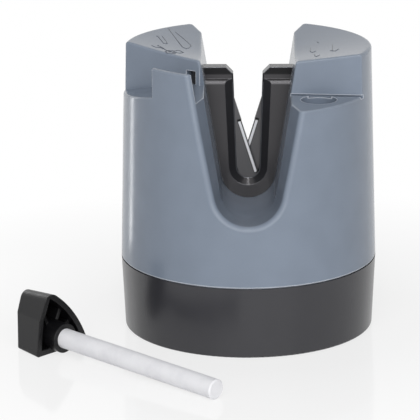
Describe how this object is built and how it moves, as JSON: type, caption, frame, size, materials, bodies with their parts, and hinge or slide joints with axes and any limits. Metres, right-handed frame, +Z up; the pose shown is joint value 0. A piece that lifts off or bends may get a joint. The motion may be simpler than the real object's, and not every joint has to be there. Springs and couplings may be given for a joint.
{
  "type": "pull through knife sharpener",
  "caption": "Drum-shaped pull through knife sharpener with crossed sprung ceramic hones in a V channel, a scissors pocket and a loose ceramic rod with a moulded handle.",
  "frame": {"origin": "centre of the foot pad's face on the table, on the drum's axis", "axes": "+Z up along the drum's axis, -Y towards the front, +X to the right; the blade channel runs along Y"},
  "size_m": [0.1168, 0.1243, 0.0944],
  "materials": {
    "drum_plastic": "finely grained satin moulding",
    "base_plastic": "satin moulding",
    "pad_rubber": "matte non-slip rubber",
    "cartridge_plastic": "satin moulding",
    "arm_plastic": "satin moulding",
    "white_ceramic": "matte sintered ceramic",
    "handle_plastic": "grained moulding",
    "screw_steel": "zinc plated"
  },
  "bodies": {
    "housing": {"drum_shell": "drum_plastic", "base_skirt": "base_plastic", "bottom_plate": "base_plastic", "foot_pad": "pad_rubber", "base_screws": "screw_steel", "scissor_hone": "white_ceramic", "cartridge_front_half": "cartridge_plastic", "cartridge_rear_half": "cartridge_plastic", "cartridge_screws": "screw_steel", "clamp_plate": "screw_steel", "clamp_screws": "screw_steel", "left_pivot_pin": "screw_steel", "right_pivot_pin": "screw_steel", "left_return_spring": "screw_steel", "right_return_spring": "screw_steel"},
    "left_arm": {"left_honing_arm": "arm_plastic", "left_ceramic_strip": "white_ceramic"},
    "right_arm": {"right_honing_arm": "arm_plastic", "right_ceramic_strip": "white_ceramic"},
    "rod_tool": {"rod_handle": "handle_plastic", "honing_rod": "white_ceramic"}
  },
  "joints": [
    {"name": "left_arm_hinge", "type": "hinge", "parent": "housing", "child": "left_arm", "pos_m": [0.00194, 0, 0.0473], "axis": [0, -1, 0], "range_deg": [0, 5], "stiffness_Nm_per_rad": 0.02, "springref_deg": -11.46, "deforming": ["left_return_spring"]},
    {"name": "right_arm_hinge", "type": "hinge", "parent": "housing", "child": "right_arm", "pos_m": [-0.00194, 0, 0.0473], "axis": [0, 1, 0], "range_deg": [0, 5], "stiffness_Nm_per_rad": 0.02, "springref_deg": -11.46, "deforming": ["right_return_spring"]},
    {"name": "rod_tool_lift", "type": "slide", "parent": "housing", "child": "rod_tool", "axis": [0, 0, 1], "range_m": [0, 0.11]}
  ]
}
